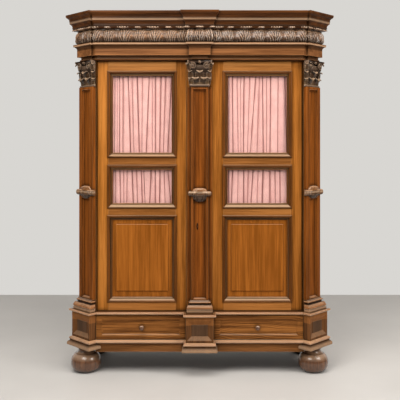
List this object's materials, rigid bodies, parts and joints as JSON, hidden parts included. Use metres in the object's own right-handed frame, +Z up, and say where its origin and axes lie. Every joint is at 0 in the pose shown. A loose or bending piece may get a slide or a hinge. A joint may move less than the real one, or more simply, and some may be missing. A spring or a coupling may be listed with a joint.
{
  "type": "kas cupboard",
  "caption": "Tall wooden kas cupboard with canted corner pilasters, carved entablature, glazed and curtained panel doors, base drawers and turned bun feet.",
  "frame": {"origin": "middle of the footprint on the floor", "axes": "+Z up, +X to the right as one faces the doors, +Y to the back, the doors face -Y"},
  "size_m": [1.6614, 0.642, 2.189],
  "materials": {
    "walnut": "waxed brown hardwood with a soft shine",
    "carved_wood": "dark waxed carved hardwood",
    "foot_wood": "very dark polished turned wood",
    "plain_wood": "unpolished inside boards",
    "glass": "clear pane",
    "curtain": "gathered thin pink cotton",
    "iron": "dull worn steel"
  },
  "bodies": {
    "carcase": {"base_bottom": "plain_wood", "base_left_side": "walnut", "base_right_side": "walnut", "base_back": "plain_wood", "base_top": "walnut", "apron": "walnut", "left_pedestal": "walnut", "centre_pedestal": "walnut", "right_pedestal": "walnut", "base_tier_moulding": "walnut", "base_cap_moulding": "walnut", "drawer_runners": "plain_wood", "case_left_side": "walnut", "case_right_side": "walnut", "case_floor": "plain_wood", "left_corner_post": "walnut", "right_corner_post": "walnut", "case_back": "plain_wood", "lower_shelf": "plain_wood", "upper_shelf": "plain_wood", "shelf_battens": "plain_wood", "case_top": "plain_wood", "left_pilaster": "walnut", "right_pilaster": "walnut", "architrave": "walnut", "cornice_top": "plain_wood", "foot_front_left": "foot_wood", "foot_front_right": "foot_wood", "foot_rear_left": "foot_wood", "foot_rear_right": "foot_wood", "left_capital": "carved_wood", "right_capital": "carved_wood", "frieze": "carved_wood", "cornice": "carved_wood"},
    "left_door": {"left_door_outer_stile": "walnut", "left_door_inner_stile": "walnut", "left_door_rails": "walnut", "left_door_panel": "walnut", "left_door_mouldings": "walnut", "left_door_glass": "glass", "left_door_curtains": "curtain", "left_door_fittings": "iron"},
    "right_door": {"right_door_outer_stile": "walnut", "right_door_inner_stile": "walnut", "right_door_rails": "walnut", "right_door_panel": "walnut", "right_door_mouldings": "walnut", "right_door_glass": "glass", "right_door_curtains": "curtain", "right_door_fittings": "iron", "centre_pilaster": "walnut", "centre_capital": "carved_wood"},
    "left_drawer": {"left_drawer_front": "walnut", "left_drawer_box": "plain_wood", "left_drawer_knob": "foot_wood"},
    "right_drawer": {"right_drawer_front": "walnut", "right_drawer_box": "plain_wood", "right_drawer_knob": "foot_wood"},
    "lock_bolt": {"lock_bolt": "iron"},
    "left_door_bolt": {"left_door_bolt": "iron"}
  },
  "joints": [
    {"name": "left_door_hinge", "type": "hinge", "parent": "carcase", "child": "left_door", "pos_m": [-0.617, -0.181, 1.138], "axis": [0, 0, -1], "range_deg": [0, 90]},
    {"name": "right_door_hinge", "type": "hinge", "parent": "carcase", "child": "right_door", "pos_m": [0.617, -0.181, 1.138], "axis": [0, 0, 1], "range_deg": [0, 90]},
    {"name": "left_drawer_slide", "type": "slide", "parent": "carcase", "child": "left_drawer", "axis": [0, -1, 0], "range_m": [0, 0.35]},
    {"name": "right_drawer_slide", "type": "slide", "parent": "carcase", "child": "right_drawer", "axis": [0, -1, 0], "range_m": [0, 0.35]},
    {"name": "lock_bolt_slide", "type": "slide", "parent": "right_door", "child": "lock_bolt", "axis": [-1, 0, 0], "range_m": [0, 0.01]},
    {"name": "left_door_bolt_slide", "type": "slide", "parent": "left_door", "child": "left_door_bolt", "axis": [0, 0, 1], "range_m": [0, 0.014]}
  ]
}
